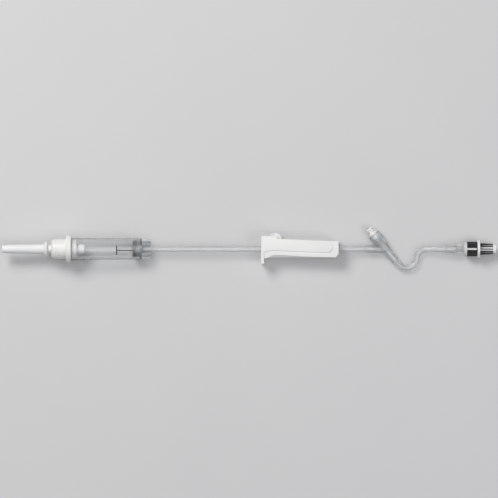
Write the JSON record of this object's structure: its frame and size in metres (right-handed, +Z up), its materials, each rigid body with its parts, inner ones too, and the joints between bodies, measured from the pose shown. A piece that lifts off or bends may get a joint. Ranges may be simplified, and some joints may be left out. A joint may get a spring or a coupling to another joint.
{
  "type": "iv infusion set",
  "caption": "Gravity infusion set lying flat: capped spike, drip chamber with filter, roller clamp on clear tube, Y-site with needle-free valve, S of tube and rotating male luer lock with cap.",
  "frame": {"origin": "middle of the resting outline of everything but the two free tubes, on the surface that it lies on", "axes": "+X along the set from the spike to the luer lock, +Y towards the side that the roller and the valve point to, +Z up from the surface"},
  "size_m": [0.3486, 0.0315, 0.0195],
  "materials": {
    "natural_polythene": "semi-matt, slightly translucent",
    "white_abs": "semi-gloss white",
    "clear_chamber": "clear soft PVC",
    "clear_plastic": "clear rigid plastic",
    "grey_filter": "fine woven nylon mesh",
    "clear_tube": "clear flexible PVC",
    "white_clamp": "satin white",
    "white_roller": "satin white",
    "white_valve": "semi-gloss white",
    "silicone_seal": "matt translucent silicone",
    "black_nut": "finely knurled black",
    "white_luer_cap": "satin white"
  },
  "bodies": {
    "set": {"spike": "white_abs", "drop_former": "white_abs", "chamber_barrel": "clear_chamber", "filter_ring": "grey_filter", "filter_mesh": "grey_filter", "outlet_cap": "clear_plastic", "tube_main": "clear_tube", "y_body": "clear_plastic", "valve_housing": "white_valve", "tube_lower": "clear_tube", "luer_connector": "clear_plastic"},
    "spike_cap": {"spike_cap": "natural_polythene"},
    "clamp": {"clamp_body": "white_clamp"},
    "roller": {"roller": "white_roller"},
    "valve_seal": {"valve_seal": "silicone_seal"},
    "luer_nut": {"luer_nut": "black_nut"},
    "luer_cap": {"luer_cap": "white_luer_cap"}
  },
  "joints": [
    {"name": "spike_cap_pull", "type": "slide", "parent": "set", "child": "spike_cap", "axis": [-0.9989, 0, 0.0476], "range_m": [0, 0.034]},
    {"name": "clamp_slide", "type": "slide", "parent": "set", "child": "clamp", "axis": [1, 0, 0], "range_m": [-0.07, 0.006]},
    {"name": "roller_travel", "type": "slide", "parent": "clamp", "child": "roller", "axis": [0.9895, -0.1448, 0], "range_m": [0, 0.03329], "deforming": ["tube_main"]},
    {"name": "valve_press", "type": "slide", "parent": "set", "child": "valve_seal", "axis": [0.6388, -0.7694, 0], "range_m": [0, 0.003], "stiffness_N_per_m": 1500},
    {"name": "nut_spin", "type": "hinge", "parent": "set", "child": "luer_nut", "pos_m": [0.15126, -0.00278, 0.00625], "axis": [1, 0, 0], "continuous": true},
    {"name": "luer_cap_pull", "type": "slide", "parent": "set", "child": "luer_cap", "axis": [1, 0, 0], "range_m": [0, 0.02]}
  ]
}
